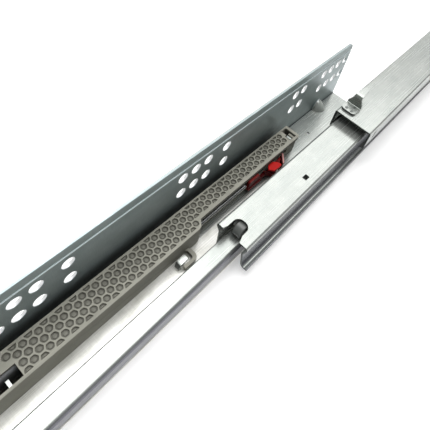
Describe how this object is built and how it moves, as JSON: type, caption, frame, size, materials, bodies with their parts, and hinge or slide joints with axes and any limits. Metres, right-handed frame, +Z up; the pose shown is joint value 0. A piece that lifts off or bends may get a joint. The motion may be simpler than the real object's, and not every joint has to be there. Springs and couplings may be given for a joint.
{
  "type": "drawer slide",
  "caption": "Undermount drawer slide, partly extended: L-shaped cabinet bracket with screw holes, box rail, two telescoping rails, rear hook and a soft-close unit.",
  "frame": {"origin": "lower front corner of the flange's outer face, which lies on the cabinet side, level with the underside of the bracket's floor", "axes": "+X along the slide, the way the drawer pulls out; +Y towards the cabinet side that the flange is screwed to; +Z up"},
  "size_m": [0.8505, 0.0501, 0.049],
  "materials": {
    "zinc_sheet": "bright zinc plating, faintly brushed",
    "rivet_steel": "zinc plated",
    "cage_plastic": "moulded",
    "roller_plastic": "moulded, worn smooth",
    "housing_plastic": "moulded, fine texture",
    "damper_steel": "drawn tube",
    "rod_steel": "polished",
    "spring_steel": "oiled wire",
    "catch_plastic": "moulded, semi-gloss"
  },
  "bodies": {
    "cabinet": {"cabinet_bracket": "zinc_sheet", "base_rail": "zinc_sheet", "rail_rivets": "rivet_steel", "soft_close_housing": "housing_plastic", "soft_close_base": "housing_plastic", "damper_cylinder": "damper_steel", "damper_cap": "cage_plastic", "return_spring": "spring_steel"},
    "lower_cage": {"lower_cage": "cage_plastic", "lower_rollers": "roller_plastic", "lower_side_rollers": "roller_plastic"},
    "intermediate": {"intermediate_rail": "zinc_sheet", "intermediate_buffer": "cage_plastic"},
    "upper_cage": {"upper_cage": "cage_plastic", "upper_rollers": "roller_plastic", "upper_side_rollers": "roller_plastic"},
    "drawer": {"drawer_rail": "zinc_sheet", "rear_hook": "zinc_sheet", "hook_rivets": "rivet_steel", "driver_tab": "zinc_sheet", "driver_rivets": "rivet_steel"},
    "catch": {"catch_carriage": "catch_plastic", "piston_rod": "rod_steel", "tumbler_pin": "rod_steel"},
    "tumbler": {"catch_tumbler": "catch_plastic"}
  },
  "joints": [
    {"name": "intermediate_slide", "type": "slide", "parent": "cabinet", "child": "intermediate", "axis": [1, 0, 0], "range_m": [-0.2, 0.015]},
    {"name": "lower_cage_slide", "type": "slide", "parent": "cabinet", "child": "lower_cage", "axis": [1, 0, 0], "range_m": [-0.1, 0.0075]},
    {"name": "drawer_slide", "type": "slide", "parent": "intermediate", "child": "drawer", "axis": [1, 0, 0], "range_m": [-0.2, 0.015]},
    {"name": "upper_cage_slide", "type": "slide", "parent": "intermediate", "child": "upper_cage", "axis": [1, 0, 0], "range_m": [-0.1, 0.0075]},
    {"name": "catch_slide", "type": "slide", "parent": "cabinet", "child": "catch", "axis": [1, 0, 0], "range_m": [-0.033, 0], "deforming": ["return_spring"]},
    {"name": "tumbler_tilt", "type": "hinge", "parent": "catch", "child": "tumbler", "pos_m": [-0.098, -0.0187, 0.0084], "axis": [0, -1, 0], "range_deg": [0, 14]}
  ],
  "couplings": [
    {"joint": "lower_cage_slide", "follows": "intermediate_slide", "ratio": 0.5},
    {"joint": "drawer_slide", "follows": "intermediate_slide", "ratio": 1},
    {"joint": "upper_cage_slide", "follows": "intermediate_slide", "ratio": 0.5}
  ]
}
